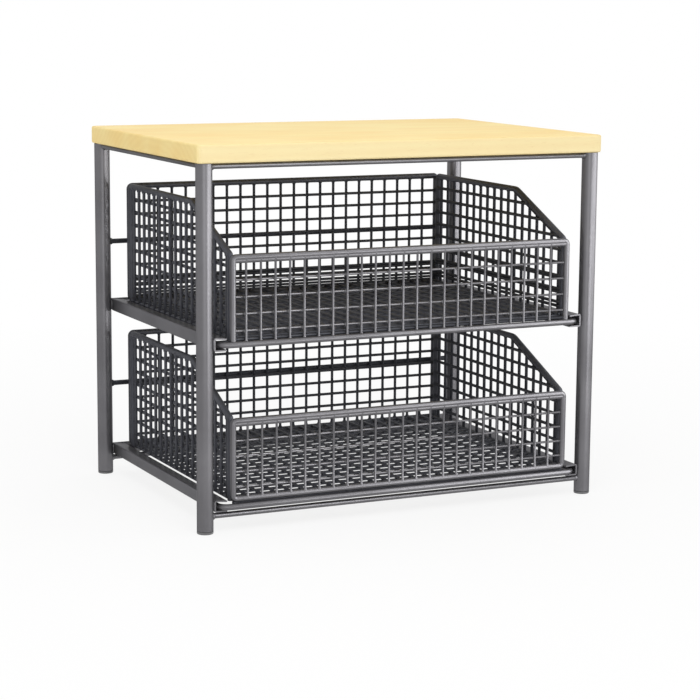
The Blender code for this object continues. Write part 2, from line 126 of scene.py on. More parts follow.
# Legs and plugs
LEG_SIDES = 56
LEG_WALL = 1.0 * MM
LEG_LIP = 0.25 * MM
BORE_DEPTH = 6 * MM             # how far the tube's inner wall is drawn at both ends
PLUG_FACE = 2 * MM              # radius of an inner ring that keeps the plug's flat end even
PLUG_ROUND = 0.8 * MM
PLUG_COLLAR = 2 * MM            # height of the part below the tube
PLUG_STEP = 0.2 * MM
PLUG_TAPER = 0.5 * MM           # how much narrower than the bore the plug is at its upper end

# Sheet-metal pieces
FOLD_RADIUS = 1.6 * MM
SHEET_EDGE = 0.3 * MM
RUNNER_WALL = 1.2 * MM
FLANGE_SAG = 0.9 * MM           # the upper flange is bent a little further than square
RUNNER_DEEPER = {"upper": 1.2 * MM, "lower": 0.0}    # how far the web reaches below its solid
RUNNER_BEAD_OUT = 0.1 * MM      # of the web's outer face
RUNNER_BEAD_STEP = 2.0 * MM     # on each side of the leg's middle
RUNNER_BEAD_SHORT = 2 * MM      # shorter than the web at each end
STRIP_ROUND = 0.5 * MM
STRIP_REACH = 0.3 * MM          # the strip closes the gap to the runners
STRIP_BEAD_IN = 0.2 * MM
STRIP_BEAD_SHORT = 1.5 * MM
TAB_CORNER = 2.5 * MM
TAB_BEAD_HALF_LENGTH = 4 * MM

# Screws
SCREW_SIDES = 32
# The head's crown, from its face upwards: distance, and share of the head's radius
SCREW_CROWN = ((0, 0.55), (0.15 * MM, 0.75), (0.5 * MM, 0.92), (1.1 * MM, 1))
SCREW_HEAD_HEIGHT = 2.2 * MM
SCREW_SHANK_RADIUS = 1.7 * MM
SCREW_POINT_LENGTH = 2.5 * MM
SCREW_TIP_RADIUS = 0.3 * MM
RECESS_ARM = 1.9 * MM
RECESS_HALF_WIDTH = 0.45 * MM
RECESS_DEPTH = 1.1 * MM
RECESS_TAPER = 0.55

SHARP_ANGLE = 40                # degrees; flatter edges are shaded smooth

# Camera, fitted to the photograph
CAMERA_PLACE = (-0.7978, -1.6793, 0.4312)
CAMERA_YAW = 25.677
CAMERA_PITCH = -9.490
CAMERA_ROLL = 0.430
LENS = 109.12
SENSOR = 36.0
FAR_CLIP = 50

# Studio, in metres and watts
FLOOR_REACH = 4.0
FLOOR_SQUARES = 8
FILL_STRENGTH = 0.75
KEY_PLACE, KEY_AIM = (-0.4, -1.1, 1.5), (0, 0, 0.2)
KEY_WIDTH, KEY_HEIGHT, KEY_POWER = 1.0, 0.8, 10.6
STRIP_AIM = (0, -0.1, 0.16)
# Boxes that only show mirrored in the coat: name, place, width, height, power
MIRRORED_STRIPS = (
    ("front_strip", (0.42, -1.0, 0.08), 0.5, 0.24, 2.6),
    ("corner_strip", (0.95, -0.95, 0.62), 0.7, 1.5, 13),
    ("left_strip", (-0.40, -1.0, 0.30), 0.6, 0.66, 1.8),
    ("right_strip", (1.0, -0.32, 0.42), 0.8, 0.8, 7.6),
)

# Sockets of a colour mix, whose names other types of mix share: share of the second, first, second; result
SHARE, FIRST, SECOND, RESULT = 0, 6, 7, 2

UP = Vector((0, 0, 1))
LEVELS = ("upper", "lower")
SIDES = {"left": -1, "right": 1}
ENDS = {"front": -1, "rear": 1}


# ---------------------------------------------------------------- materials

def linear(hex_colour):
    """sRGB hex to the linear colour that shaders take."""
    channels = [int(hex_colour[k:k + 2], 16) / 255 for k in (1, 3, 5)]
    return [c / 12.92 if c <= 0.04045 else ((c + 0.055) / 1.055) ** 2.4 for c in channels] + [1.0]


def add(tree, kind, inputs=None, **settings):
    """Adds one node. Inputs are values, or the output sockets that feed them."""
    node = tree.nodes.new(kind)
    for name, value in settings.items():
        setattr(node, name, value)
    for name, value in (inputs or {}).items():
        if isinstance(value, bpy.types.NodeSocket):
            tree.links.new(value, node.inputs[name])
        else:
            node.inputs[name].default_value = value
    return node


def blank_material(name):
    """A material with an empty tree and its output node."""
    material = bpy.data.materials.new(name)
    material.use_nodes = True
    tree = material.node_tree
    tree.nodes.clear()
    return material, tree, add(tree, "ShaderNodeOutputMaterial")


def seen_or_mirrored(tree):
    """1 for the rays of the eye, of gloss and of glass, 0 for those that gather light for a surface."""
    path = add(tree, "ShaderNodeLightPath")
    mirrored = add(tree, "ShaderNodeMath", {
        0: path.outputs["Is Glossy Ray"],
        1: path.outputs["Is Transmission Ray"],
    }, operation="MAXIMUM")
    seen = add(tree, "ShaderNodeMath", {
        0: path.outputs["Is Camera Ray"],
        1: mirrored.outputs["Value"],
    }, operation="MAXIMUM")
    return seen.outputs["Value"]


def powder_coated(name, dark, pale, flake, roughness):
    """Mild steel under a metallic charcoal powder coat: semi-gloss, faintly pebbled like orange peel.

    Flake is how metallic the coat's aluminium flakes make it look.
    """
    material, tree, output = blank_material(name)
    place = add(tree, "ShaderNodeTexCoord").outputs["Object"]
    # A coat's pebbles are about 0.8 mm apart; they are drawn 1.5 mm apart so that they still show.
    pebbles = add(tree, "ShaderNodeTexNoise", {"Vector": place, "Scale": 1 / (1.5 * MM), "Detail": 2.0})
    # The coat is thicker in some places, which changes its tone over some 40 mm.
    cloud = add(tree, "ShaderNodeTexNoise", {"Vector": place, "Scale": 1 / (40 * MM), "Detail": 3.0})
    tone = add(tree, "ShaderNodeValToRGB", {"Fac": cloud.outputs["Fac"]})
    tone.color_ramp.elements[0].position = 0.35
    tone.color_ramp.elements[0].color = linear(dark)
    tone.color_ramp.elements[1].position = 0.65
    tone.color_ramp.elements[1].color = linear(pale)
    gloss = add(tree, "ShaderNodeMapRange", {
        "Value": cloud.outputs["Fac"],
        "To Min": roughness - 0.04,
        "To Max": roughness + 0.04,
    })
    relief = add(tree, "ShaderNodeBump", {
        "Height": pebbles.outputs["Fac"],
        "Strength": 0.25,
        "Distance": 0.05 * MM,
    })
    # The tint keeps the coat grey at grazing angles, where bare metal would turn white.
    coat = add(tree, "ShaderNodeBsdfPrincipled", {
        "Base Color": tone.outputs["Color"],
        "Metallic": flake,
        "Roughness": gloss.outputs["Result"],
        "Specular Tint": linear("#8a8a8c"),
        "Normal": relief.outputs["Normal"],
    })
    tree.links.new(coat.outputs["BSDF"], output.inputs["Surface"])
    return material


def satin_lacquered_beech():
    """Pale hardwood sawn along the grain, sanded and lacquered satin: faint growth lines, short flecks."""
    material, tree, output = blank_material("satin_lacquered_beech")
    surface = add(tree, "ShaderNodeTexCoord")
    place = surface.outputs["Object"]
    # Everything in wood is drawn out along the grain, here along X: the lacquer's sheen sways over 45 mm
    # across the grain, and over much longer stretches with it.
    along = add(tree, "ShaderNodeMapping", {"Vector": place, "Scale": (0.06, 1.0, 1.0)})
    sway = add(tree, "ShaderNodeTexNoise", {
        "Vector": along.outputs["Vector"],
        "Scale": 1 / (45 * MM),
        "Detail": 2.0,
    })
    # The pith lies below the board, so its growth rings cross the faces as lines some 6 mm apart.
    # The wave runs through 20 radians in each unit of its scaled place.
    pith = add(tree, "ShaderNodeMapping", {
        "Vector": place,
        "Location": (0.0, 0.03, -0.19),
        "Scale": (0.06, 1.0, 1.0),
    })
    rings = add(tree, "ShaderNodeTexWave", {
        "Vector": pith.outputs["Vector"],
        "Scale": 2 * math.pi / (20 * 6 * MM),
        "Distortion": 3.0,
        "Detail": 3.0,
        "Detail Scale": 1.2,
    }, wave_type="RINGS", rings_direction="X")
    # Warmer and paler patches, some 50 mm across and twice as long along the grain.
    patch_place = add(tree, "ShaderNodeMapping", {"Vector": place, "Scale": (0.5, 1.0, 1.0)})
    patches = add(tree, "ShaderNodeTexNoise", {
        "Vector": patch_place.outputs["Vector"],
        "Scale": 1 / (50 * MM),
        "Detail": 2.0,
    })
    # Ray flecks are 0.1 mm wide and 2 mm long; they are drawn 0.9 by 6 mm so that they still show.
    fleck_place = add(tree, "ShaderNodeMapping", {"Vector": place, "Scale": (0.15, 1.0, 1.0)})
    flecks = add(tree, "ShaderNodeTexNoise", {
        "Vector": fleck_place.outputs["Vector"],
        "Scale": 1 / (0.9 * MM),
        "Detail": 1.0,
    })
    ground = add(tree, "ShaderNodeValToRGB", {"Fac": patches.outputs["Fac"]})
    ground.color_ramp.elements[0].position = 0.35
    ground.color_ramp.elements[0].color = linear("#fde7a5")
    ground.color_ramp.elements[1].position = 0.68
    ground.color_ramp.elements[1].color = linear("#fadc94")
    # Painted light: faces whose normal points front or back, the long edges, are mixed towards a paler
    # colour than the top and the end grain.
    facing = add(tree, "ShaderNodeSeparateXYZ", {"Vector": surface.outputs["Normal"]})
    edgewise = add(tree, "ShaderNodeMath", {0: facing.outputs["Y"]}, operation="ABSOLUTE")
    painted_edge_light = add(tree, "ShaderNodeMapRange", {
        "Value": edgewise.outputs["Value"],
        "To Min": 0.0,
        "To Max": 0.65,
    })
    plain = add(tree, "ShaderNodeMix", {
        SHARE: painted_edge_light.outputs["Result"],
        FIRST: ground.outputs["Color"],
        SECOND: linear("#f4e6bb"),
    }, data_type="RGBA")
    lines = add(tree, "ShaderNodeMapRange", {"Value": rings.outputs["Fac"], "To Min": 0.0, "To Max": 0.1})
    grown = add(tree, "ShaderNodeMix", {
        SHARE: lines.outputs["Result"],
        FIRST: plain.outputs[RESULT],
        SECOND: linear("#e3bd7a"),
    }, data_type="RGBA")
    short = add(tree, "ShaderNodeMapRange", {
        "Value": flecks.outputs["Fac"],
        "From Min": 0.62,
        "From Max": 0.8,
        "To Min": 0.0,
        "To Max": 0.16,
    })
    flecked = add(tree, "ShaderNodeMix", {
        SHARE: short.outputs["Result"],
        FIRST: grown.outputs[RESULT],
        SECOND: linear("#d3a665"),
    }, data_type="RGBA")
    height = add(tree, "ShaderNodeMath", {
        0: rings.outputs["Fac"],
        1: flecks.outputs["Fac"],
    }, operation="ADD")
    relief = add(tree, "ShaderNodeBump", {
        "Height": height.outputs["Value"],
        "Strength": 0.12,
        "Distance": 0.04 * MM,
    })
    gloss = add(tree, "ShaderNodeMapRange", {"Value": sway.outputs["Fac"], "To Min": 0.38, "To Max": 0.5})
    wood = add(tree, "ShaderNodeBsdfPrincipled", {
        "Base Color": flecked.outputs[RESULT],
        "Roughness": gloss.outputs["Result"],
        "IOR": 1.5,
        "Specular IOR Level": 0.04,
        "Normal": relief.outputs["Normal"],
    })
    tree.links.new(wood.outputs["BSDF"], output.inputs["Surface"])
    return material


def moulded_polyethylene():
    """Injection-moulded polyethylene in charcoal: waxy, faintly grained by the mould."""
    material, tree, output = blank_material("moulded_polyethylene")
    place = add(tree, "ShaderNodeTexCoord").outputs["Object"]
    # A mould's spark texture is about 0.1 mm; it is drawn 0.6 mm so that it still shows.
    grain = add(tree, "ShaderNodeTexNoise", {"Vector": place, "Scale": 1 / (0.6 * MM), "Detail": 2.0})
    tone = add(tree, "ShaderNodeValToRGB", {"Fac": grain.outputs["Fac"]})
    tone.color_ramp.elements[0].color = linear("#606062")
    tone.color_ramp.elements[1].color = linear("#747476")
    relief = add(tree, "ShaderNodeBump", {
        "Height": grain.outputs["Fac"],
        "Strength": 0.2,
        "Distance": 0.05 * MM,
    })
    plastic = add(tree, "ShaderNodeBsdfPrincipled", {
        "Base Color": tone.outputs["Color"],
        "Roughness": 0.45,
        "IOR": 1.51,
        "Normal": relief.outputs["Normal"],
    })
    tree.links.new(plastic.outputs["BSDF"], output.inputs["Surface"])
    return material


def zinc_plated_steel():
    """Cold-headed steel under bright zinc: pale metal with faint mottling."""
    material, tree, output = blank_material("zinc_plated_steel")
    place = add(tree, "ShaderNodeTexCoord").outputs["Object"]
    # The plating's mottling is about 1 mm wide on a screw's head.
    mottle = add(tree, "ShaderNodeTexNoise", {"Vector": place, "Scale": 1 / (1.0 * MM), "Detail": 3.0})
    tone = add(tree, "ShaderNodeValToRGB", {"Fac": mottle.outputs["Fac"]})
    tone.color_ramp.elements[0].color = linear("#b4b6b8")
    tone.color_ramp.elements[1].color = linear("#cdced0")
    gloss = add(tree, "ShaderNodeMapRange", {"Value": mottle.outputs["Fac"], "To Min": 0.22, "To Max": 0.4})
    zinc = add(tree, "ShaderNodeBsdfPrincipled", {
        "Base Color": tone.outputs["Color"],
        "Metallic": 1.0,
        "Roughness": gloss.outputs["Result"],
    })
    tree.links.new(zinc.outputs["BSDF"], output.inputs["Surface"])
    return material


def white_studio_card():
    """Matt white card for the floor; to the eye and in reflections it also glows, so it shows as white."""
    material, tree, output = blank_material("white_studio_card")
    place = add(tree, "ShaderNodeTexCoord").outputs["Object"]
    # Paper fibres, drawn 3 mm long.
    fibre = add(tree, "ShaderNodeTexNoise", {"Vector": place, "Scale": 1 / (3 * MM), "Detail": 2.0})
    tone = add(tree, "ShaderNodeValToRGB", {"Fac": fibre.outputs["Fac"]})
    tone.color_ramp.elements[0].color = linear("#f4f4f3")
    tone.color_ramp.elements[1].color = linear("#f8f8f8")
    paper = add(tree, "ShaderNodeBsdfDiffuse", {"Color": tone.outputs["Color"]})
    glow = add(tree, "ShaderNodeEmission", {"Color": linear("#ffffff"), "Strength": 1.0})
    # The glow's share grows from the rack outwards, so the card's far edge melts into the white behind it.
    away = add(tree, "ShaderNodeVectorMath", {0: place}, operation="LENGTH")
    fade = add(tree, "ShaderNodeMapRange", {
        "Value": away.outputs["Value"],
        "From Min": 0.15,
        "From Max": 1.0,
        "To Min": 0.84,
        "To Max": 1.0,
    })
    share = add(tree, "ShaderNodeMath", {
        0: seen_or_mirrored(tree),
        1: fade.outputs["Result"],
    }, operation="MULTIPLY")
    card = add(tree, "ShaderNodeMixShader", {
        0: share.outputs["Value"],
        1: paper.outputs["BSDF"],
        2: glow.outputs["Emission"],
    })
    tree.links.new(card.outputs["Shader"], output.inputs["Surface"])
    return material


# ---------------------------------------------------------------- drawing

def ring_round(bm, centre, across, up, radius, sides):
    """A ring of points around a rod."""
    ring = []
    for k in range(sides):
        angle = 2 * math.pi * k / sides
        spoke = across * math.cos(angle) * radius
        ring.append(bm.verts.new(centre + spoke + up * math.sin(angle) * radius))
    return ring


def skin(bm, rings, closed=False):
    """Joins rings of points into a tube, and caps its ends unless it runs round in a loop."""
    pairs = list(zip(rings, rings[1:]))
    if closed:
        pairs.append((rings[-1], rings[0]))
    for first, second in pairs:
        count = len(first)
        for k in range(count):
            after = (k + 1) % count
            bm.faces.new((first[k], first[after], second[after], second[k]))
    if not closed:
        bm.faces.new(list(reversed(rings[0])))
        bm.faces.new(rings[-1])


def turned(bm, start, axis, stations, sides):
    """A round piece along an axis, from (distance, radius) stations."""
    axis = axis.normalized()
    across = axis.orthogonal().normalized()
    up = axis.cross(across)
    rings = []
    for distance, radius in stations:
        rings.append(ring_round(bm, start + axis * distance, across, up, radius, sides))
    skin(bm, rings)


def fillet(before, corner, after, radius):
    """The points of the arc that rounds one corner of a flat path."""
    to_before = (before - corner).normalized()
    to_after = (after - corner).normalized()
    half = to_before.angle(to_after) / 2
    centre = corner + (to_before + to_after).normalized() * (radius / math.sin(half))
    reach = radius / math.tan(half)
    start = corner + to_before * reach - centre
    end = corner + to_after * reach - centre
    turn = math.copysign(math.pi - 2 * half, start.x * end.y - start.y * end.x)
    steps = max(2, round(abs(turn) / (math.pi / 2) * STEPS_IN_QUARTER))
    return [centre + Matrix.Rotation(turn * k / steps, 2) @ start for k in range(steps + 1)]


def rounded_path(corners, bends, closed):
    """A flat line of straight runs whose corners are rounded by their bends."""
    spots = [Vector(corner) for corner in corners]
    count = len(spots)
    path = []
    for k, spot in enumerate(spots):
        if bends[k] == 0 or (not closed and k in (0, count - 1)):
            path.append(spot)
        else:
            path.extend(fillet(spots[k - 1], spot, spots[(k + 1) % count], bends[k]))
    return path


def mitre(path, k, closed):
    """The direction across a flat path at one of its points, longer where the path turns."""
    count = len(path)
    runs = []
    if closed or k > 0:
        runs.append((path[k] - path[k - 1]).normalized())
    if closed or k < count - 1:
        runs.append((path[(k + 1) % count] - path[k]).normalized())
    along = sum(runs, Vector((0, 0))).normalized()
    across = Vector((along.y, -along.x))
    return across / along.dot(runs[0])


def bent_rod(bm, corners, bends, closed):
    """A round rod bent in the drawing's plane."""
    path = rounded_path(corners, bends, closed)
    rings = []
    for k, spot in enumerate(path):
        across = mitre(path, k, closed).to_3d()
        rings.append(ring_round(bm, spot.to_3d(), across, UP, ROD_RADIUS, ROD_SIDES))
    skin(bm, rings, closed)


def wire(bm, start, end, welded=(True, True), radius=WIRE_RADIUS):
    """A straight wire. A welded end spreads where it runs into a rod, whose middle is the wire's end."""
    length = (end - start).length
    spread = radius * FLARE
    cut = radius * CUT_LENGTH
    stations = []
    if welded[0]:
        stations += [(0, spread), (ROD_RADIUS, spread), (ROD_RADIUS + FLARE_LENGTH, radius)]
    else:
        stations += [(0, radius * CUT_END), (cut, radius)]
    if welded[1]:
        far = length - ROD_RADIUS
        stations += [(far - FLARE_LENGTH, radius), (far, spread), (length, spread)]
    else:
        stations += [(length - cut, radius), (length, radius * CUT_END)]
    turned(bm, start, end - start, stations, WIRE_SIDES)


def level_wire(bm, near, far, v, radius):
    """A wire of the inner layer, drawn across from near to far at one height."""
    wire(bm, Vector((near, v, -LAYER)), Vector((far, v, -LAYER)), radius=radius)


def give_painted_shade_coat(bm, first):
    """Gives the piece's second material, a darker copy of the coat that is painted shade, to the faces from
    a given number on.
    """
    for face in list(bm.faces)[first:]:
        face.material_index = 1


def crossing_weld(bm, u, v):
    """The small web of steel that a spot weld leaves in the four corners of a crossing."""
    corners = ((1, 1), (-1, 1), (-1, -1), (1, -1))
    belt = [bm.verts.new((u + a * WELD_REACH, v + b * WELD_REACH, 0)) for a, b in corners]
    for pole in (bm.verts.new((u, v, WELD_DEPTH)), bm.verts.new((u, v, -WELD_DEPTH))):
        for k in range(4):
            bm.faces.new((belt[k], belt[(k + 1) % 4], pole))


def bead(bm, start, end, radius=SHEET_BEAD_RADIUS):
    """A short run of weld between two points, with rounded ends."""
    length = (end - start).length
    shape = [(out * radius, share * radius) for out, share in BEAD_ENDS]
    stations = [(-out, thick) for out, thick in shape]
    stations += [(0, radius), (length / 2, radius * BEAD_WAIST), (length, radius)]
    stations += [(length + out, thick) for out, thick in reversed(shape)]
    turned(bm, start, end - start, stations, WIRE_SIDES)


def upright_plane(facing, offset):
    """Matrix from a drawing to an upright plane that faces the named side."""
    axes = {
        "front": ((1, 0, 0), (0, 0, -1), (0, 1, 0)),
        "rear": ((1, 0, 0), (0, 0, 1), (0, 1, 0)),
        "right": ((0, 0, 1), (1, 0, 0), (0, 1, 0)),
        "left": ((0, 0, -1), (1, 0, 0), (0, 1, 0)),
    }[facing]
    shift = (0, offset, 0) if facing in ENDS else (offset, 0, 0)
    return Matrix.Translation(shift) @ Matrix(axes).to_4x4()


def new_piece(name, bm, materials, body, slot, *nodes, place=None):
    """Makes the drawn mesh a piece that rides a body and stands for CAD nodes."""
    if place:
        bmesh.ops.transform(bm, matrix=place, verts=bm.verts)
    bmesh.ops.recalc_face_normals(bm, faces=bm.faces)
    mesh = bpy.data.meshes.new(name)
    bm.to_mesh(mesh)
    bm.free()
    for material in materials:
        mesh.materials.append(material)
    mesh.shade_smooth()
    mesh.set_sharp_from_angle(angle=math.radians(SHARP_ANGLE))
    piece = bpy.data.objects.new(name, mesh)
    bpy.context.collection.objects.link(piece)
    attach(piece, body)
    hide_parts(*nodes)


def coated_piece(name, bm, materials, node, body="rack", place=None):
    """A piece of powder-coated steel."""
    new_piece(name, bm, materials, body, "grey_powder_coat", node, place=place)


def basket_piece(level, part, bm, materials, node, place):
    """A powder-coated piece of a basket, drawn with its ring's middle at height 0."""
    place = Matrix.Translation((0, 0, RING_HEIGHT[level])) @ place
    coated_piece(f"{level}_basket_{part}", bm, materials, f"{level}_{node}", f"{level}_basket", place)


def middle(node):
    """The middle of a CAD node's box."""
    low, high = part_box(node)
    return [(a + b) / 2 for a, b in zip(low, high)]


def rows(first, pitch, count):
    """Evenly spaced places from the first one on."""
    return [first + pitch * k for k in range(count)]


def centred(middle_place, pitch, count):
    """Evenly spaced places on both sides of a middle."""
    return rows(middle_place - pitch * (count - 1) / 2, pitch, count)


# ---------------------------------------------------------------- places read from the CAD

LEG_LOW, LEG_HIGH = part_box("leg_front_right")
LEG_RADIUS = (LEG_HIGH[0] - LEG_LOW[0]) / 2
LEG_Y = -(LEG_LOW[1] + LEG_RADIUS)
RING_LOW, RING_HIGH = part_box("lower_slide_ring")
ROD_RADIUS = (RING_HIGH[2] - RING_LOW[2]) / 2
RING_X = RING_HIGH[0] - ROD_RADIUS
RING_FRONT, RING_REAR = RING_LOW[1] + ROD_RADIUS, RING_HIGH[1] - ROD_RADIUS
RING_HEIGHT = {level: middle(f"{level}_slide_ring")[2] for level in LEVELS}
FRAME_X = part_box("lower_front_panel")[1][0] - ROD_RADIUS
FRONT_PLANE = middle("lower_front_panel")[1]
BACK_PLANE = middle("lower_back_panel")[1]
# Heights above the ring's middle
FRONT_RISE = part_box("lower_front_panel")[1][2] - ROD_RADIUS - RING_HEIGHT["lower"]
SILL_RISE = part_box("lower_front_panel")[0][2] + ROD_RADIUS - RING_HEIGHT["lower"]
RIM_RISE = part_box("lower_back_panel")[1][2] - ROD_RADIUS - RING_HEIGHT["lower"]
FLOOR_RISE = middle("lower_floor")[2] - RING_HEIGHT["lower"]
SLOPE_TOE_RISE = FRONT_RISE + SLOPE_TOE_STEP
SIDE_LOW, SIDE_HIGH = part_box("lower_left_panel")
SIDE_FRONT, SIDE_REAR = SIDE_LOW[1] + ROD_RADIUS, SIDE_HIGH[1] - ROD_RADIUS
SLOPE_RUN = (SIDE_REAR - SIDE_FRONT) * SLOPE_RUN_SHARE
SIDE_MIDDLE = (SIDE_FRONT + SIDE_REAR) / 2
FLOOR_COLUMNS = centred(0, COLUMN_PITCH, COLUMN_COUNT)
FLOOR_ROWS = centred(SIDE_MIDDLE, SIDE_COLUMN_PITCH, SIDE_COLUMN_COUNT)


# ---------------------------------------------------------------- baskets

def flat_mesh(bm, columns, heights, bottom, top, radius):
    """Columns and rows of a rectangular panel; the columns lie on its outer side."""
    for u in columns:
        wire(bm, Vector((u, bottom, LAYER)), Vector((u, top, LAYER)), radius=radius)
    for v in heights:
        level_wire(bm, -FRAME_X, FRAME_X, v, radius)
        for u in columns:
            crossing_weld(bm, u, v)


def front_panel(level, steel, wire_coat_in_painted_shade):
    """Rod frame with mesh. The upper one stands on the ring, the lower one has a sill of its own."""
    bm = bmesh.new()
    has_sill = level == "lower"
    bottom = SILL_RISE - SILL_DROP if has_sill else 0.0
    corners = [(-FRAME_X, bottom), (-FRAME_X, FRONT_RISE), (FRAME_X, FRONT_RISE), (FRAME_X, bottom)]
    bent_rod(bm, corners, [FRAME_BEND] * 4, has_sill)
    columns = centred(FRONT_COLUMN_SHIFT[level], COLUMN_PITCH, COLUMN_COUNT)
    flat_mesh(bm, columns, rows(*FRONT_ROWS[level]), bottom, FRONT_RISE, THIN_WIRE_RADIUS)
    edge_start = Vector((-FRAME_X, FRONT_RISE - EDGE_ROD_DROP, 0))
    edge_rod = [(0, EDGE_ROD_RADIUS), (2 * FRAME_X, EDGE_ROD_RADIUS)]
    turned(bm, edge_start, Vector((1, 0, 0)), edge_rod, ROD_SIDES)
    drawn = len(bm.faces)
    level_wire(bm, -FRAME_X, FRAME_X, *FRONT_FOOT_WIRE[level])
    # The foot wire takes the second material, the wire copy of the coat, whose darker tone is painted
    # shade.
    give_painted_shade_coat(bm, drawn)
    basket_piece(level, "front", bm, [steel, wire_coat_in_painted_shade], "front_panel", upright_plane("front", FRONT_PLANE))


def back_panel(level, rim_coat_in_painted_shade, wire_coat_in_painted_shade):
    """Rod frame with mesh, as high as the sides; the upper one's mesh is closer near its foot."""
    bm = bmesh.new()
    corners = [(-FRAME_X, SILL_RISE), (-FRAME_X, RIM_RISE), (FRAME_X, RIM_RISE), (FRAME_X, SILL_RISE)]
    bent_rod(bm, corners, [FRAME_BEND] * 4, True)
    drawn = len(bm.faces)
    columns = centred(0, BACK_COLUMN_PITCH, BACK_COLUMN_COUNT)
    flat_mesh(bm, columns, rows(*BACK_ROWS), SILL_RISE, RIM_RISE, WIRE_RADIUS)
    for v, radius in BACK_GUARD_WIRES if level == "upper" else ():
        level_wire(bm, -FRAME_X, FRAME_X, v, radius)
    # The mesh takes the second material, the wire copy of the coat, whose darker tone is painted shade. The
    # frame takes the rim copy, also painted shade.
    give_painted_shade_coat(bm, drawn)
    basket_piece(level, "back", bm, [rim_coat_in_painted_shade, wire_coat_in_painted_shade], "back_panel", upright_plane("rear", BACK_PLANE))


def slope_height(u):
    """Height of a side panel's top rod: level at the rear, falling in a straight slope to the front."""
    climb = (RIM_RISE - SLOPE_TOE_RISE) * (u - SIDE_FRONT) / SLOPE_RUN
    return min(RIM_RISE, SLOPE_TOE_RISE + climb)


def slope_place(v):
    """Where a level wire meets the slope or, below it, the front upright."""
    return SIDE_FRONT + max(0, SLOPE_RUN * (v - SLOPE_TOE_RISE) / (RIM_RISE - SLOPE_TOE_RISE))


def side_panel(level, side, rim_coat_in_painted_shade, wire_coat_in_painted_shade):
    """A rod bent round its rear, top, slope and front, with mesh whose lowest wire is its foot."""
    bm = bmesh.new()
    foot, foot_radius = SIDE_FOOT_WIRE[level]
    corners = (
        (SIDE_FRONT, foot - foot_radius),
        (SIDE_FRONT, SLOPE_TOE_RISE),
        (SIDE_FRONT + SLOPE_RUN, RIM_RISE),
        (SIDE_REAR, RIM_RISE),
        (SIDE_REAR, foot - foot_radius),
    )
    bent_rod(bm, corners, (0, FRAME_BEND, SLOPE_BEND, FRAME_BEND, 0), False)
    drawn = len(bm.faces)
    wire(bm, Vector((SIDE_FRONT, foot, 0)), Vector((SIDE_REAR, foot, 0)), radius=foot_radius)
    columns = centred(SIDE_MIDDLE + SIDE_COLUMN_SHIFT[side], SIDE_COLUMN_PITCH, SIDE_COLUMN_COUNT)
    for u in columns:
        top = Vector((u, slope_height(u), LAYER))
        wire(bm, Vector((u, foot, LAYER)), top, (False, True), SIDE_WIRE_RADIUS)
    across_slope = Vector((RIM_RISE - SLOPE_TOE_RISE, -SLOPE_RUN, 0)).normalized()
    inward = across_slope * (ROD_RADIUS + EDGE_WIRE_RADIUS * EDGE_WIRE_BITE)
    toe = Vector((SIDE_FRONT, SLOPE_TOE_RISE, 0)) + inward
    crest = Vector((SIDE_FRONT + SLOPE_RUN, RIM_RISE, 0)) + inward
    wire(bm, toe, crest, radius=EDGE_WIRE_RADIUS)
    for v in rows(*SIDE_ROWS):
        level_wire(bm, slope_place(v), SIDE_REAR, v, SIDE_WIRE_RADIUS)
        for u in columns:
            if v < slope_height(u) - ROD_RADIUS:
                crossing_weld(bm, u, v)
    for v, radius in RIGHT_GUARD_WIRES if (level, side) == ("upper", "right") else ():
        level_wire(bm, SIDE_FRONT, SIDE_REAR, v, radius)
    # The mesh and foot wire take the second material, a darker copy of the coat that is painted shade. The
    # frame takes the rim copy, also painted shade.
    give_painted_shade_coat(bm, drawn)
    place = upright_plane(side, SIDES[side] * FRAME_X)
    basket_piece(level, side, bm, [rim_coat_in_painted_shade, wire_coat_in_painted_shade], f"{side}_panel", place)


def floor_panel(level, rim_coat_in_painted_shade):
    """The floor's mesh: the wires that run front to back lie on those that run across."""
    bm = bmesh.new()
    low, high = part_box(f"{level}_floor")
    half = high[0] - WIRE_RADIUS
    front, rear = low[1] + WIRE_RADIUS, high[1] - WIRE_RADIUS
    reach_front, reach_rear = FRONT_PLANE + ROD_RADIUS, BACK_PLANE - ROD_RADIUS
    across = [front] + FLOOR_ROWS + [rear]
    lengthwise = [-half] + FLOOR_COLUMNS + [half]
    free = (False, False)
    for u in lengthwise:
        wire(bm, Vector((u, reach_front, LAYER)), Vector((u, reach_rear, LAYER)), free)
    for v in across:
        wire(bm, Vector((-FRAME_X, v, -LAYER)), Vector((FRAME_X, v, -LAYER)), free)
        for u in lengthwise:
            crossing_weld(bm, u, v)
    # The floor takes the rim copy of the coat, whose darker tone is painted shade.
    basket_piece(level, "floor", bm, [rim_coat_in_painted_shade], "floor", Matrix.Translation((0, 0, FLOOR_RISE)))


def slide_ring(level, steel):
    """The ring that runs in the runners, with the tack welds that hold the back panel to it."""
    bm = bmesh.new()
    corners = ((RING_X, RING_FRONT), (RING_X, RING_REAR), (-RING_X, RING_REAR), (-RING_X, RING_FRONT))
    bent_rod(bm, corners, [RING_BEND] * 4, True)
    y, z = (RING_REAR + BACK_PLANE) / 2, SILL_RISE / 2
    half = Vector((TACK_HALF_LENGTH, 0, 0))
    for column in TACK_COLUMNS:
        spot = Vector((column * COLUMN_PITCH, y, z))
        bead(bm, spot - half, spot + half, TACK_RADIUS)
    basket_piece(level, "ring", bm, [steel], "slide_ring", Matrix.Identity(4))


def dress_baskets(steel, rim_coat_in_painted_shade, wire_coat_in_painted_shade):
    """Two baskets of six welded pieces, in the coat's own tone and its two copies of painted shade. The
    left sides' mesh takes the paler rim copy, painted lighter than the right sides'.
    """
    for level in LEVELS:
        front_panel(level, steel, wire_coat_in_painted_shade)
        back_panel(level, rim_coat_in_painted_shade, wire_coat_in_painted_shade)
        floor_panel(level, rim_coat_in_painted_shade)
        slide_ring(level, steel)
        side_panel(level, "left", rim_coat_in_painted_shade, rim_coat_in_painted_shade)
        side_panel(level, "right", rim_coat_in_painted_shade, wire_coat_in_painted_shade)


# ---------------------------------------------------------------- rack

